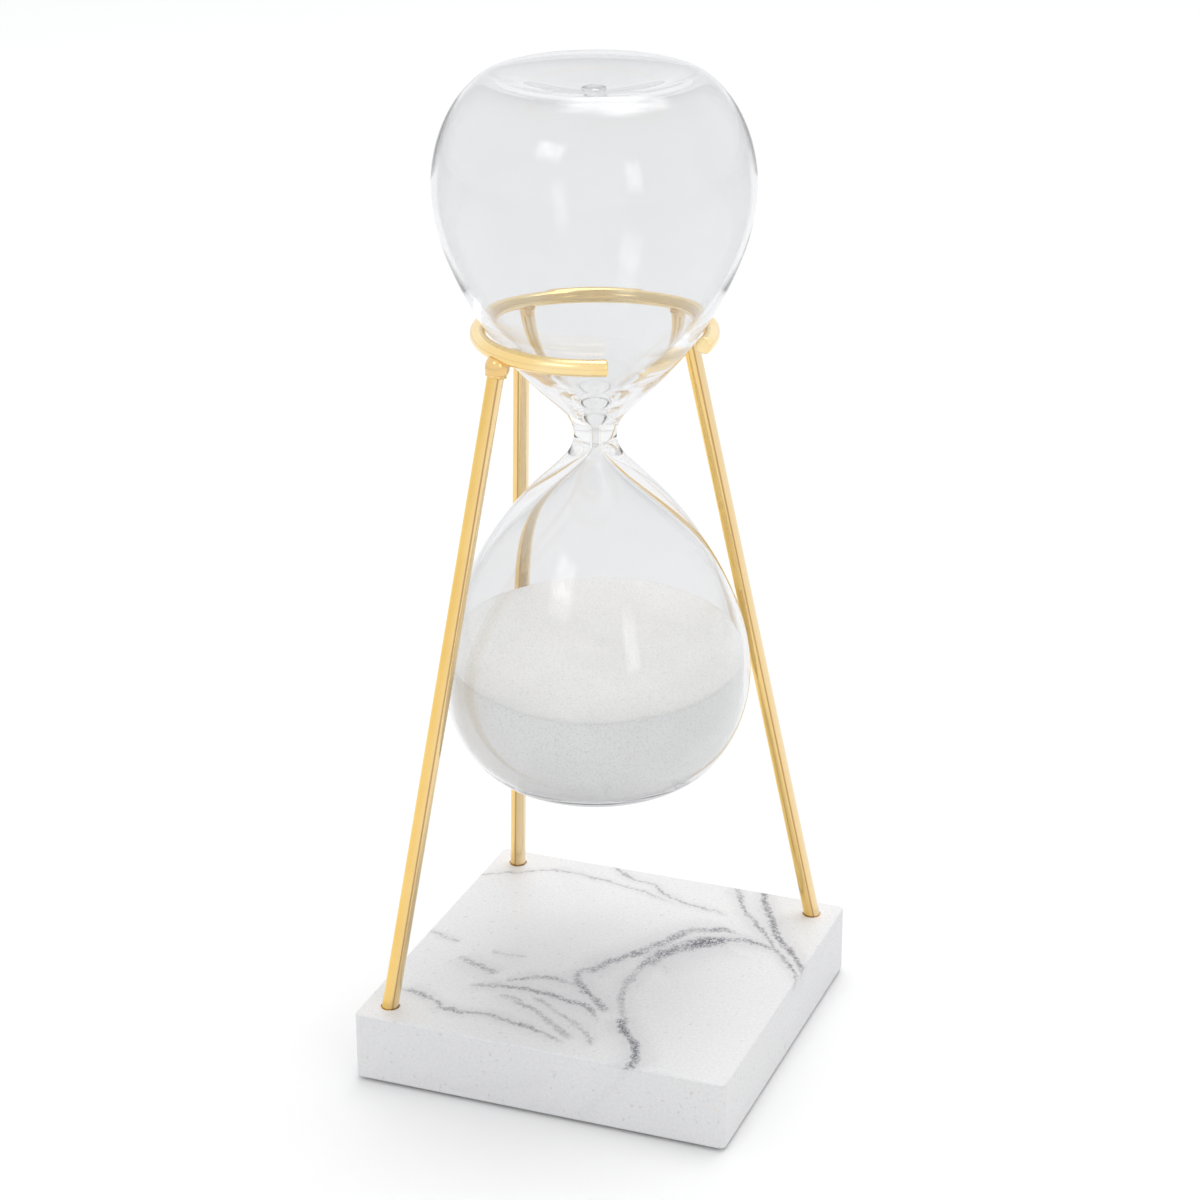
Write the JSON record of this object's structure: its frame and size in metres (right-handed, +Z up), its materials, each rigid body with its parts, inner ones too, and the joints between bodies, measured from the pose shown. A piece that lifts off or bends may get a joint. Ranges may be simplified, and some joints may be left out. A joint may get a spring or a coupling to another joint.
{
  "type": "hourglass",
  "caption": "Hourglass on a stone slab: two glass bulbs with white sand hang in an open metal ring on slanted round legs, and lift out.",
  "frame": {"origin": "middle of the slab's footprint, at the level of the surface that the foot pads stand on", "axes": "+Z up along the vessel's axis, -Y the slab's front side, +X to the right; the ring's gap and the corner with no leg are towards +X -Y"},
  "size_m": [0.12, 0.12, 0.3063],
  "materials": {
    "marble": "honed white stone with grey veins",
    "brass": "polished, pale gold",
    "braze": "polished over a slightly rough bead",
    "cement": "cured adhesive",
    "foot_pad": "matt",
    "glass": "clear blown glass",
    "sand": "fine white grains"
  },
  "bodies": {
    "stand": {"base_slab": "marble", "foot_pad_front_left": "foot_pad", "foot_pad_front_right": "foot_pad", "foot_pad_back_left": "foot_pad", "foot_pad_back_right": "foot_pad", "leg_front_left": "brass", "leg_back_left": "brass", "leg_back_right": "brass", "cradle_ring": "brass", "braze_front_left": "braze", "braze_back_left": "braze", "braze_back_right": "braze", "cement_front_left": "cement", "cement_back_left": "cement", "cement_back_right": "cement"},
    "vessel": {"upper_bulb": "glass", "lower_bulb": "glass", "fill_seal": "glass", "sand": "sand"}
  },
  "joints": [
    {"name": "lift", "type": "slide", "parent": "stand", "child": "vessel", "axis": [0, 0, 1], "range_m": [0, 0.011]}
  ]
}
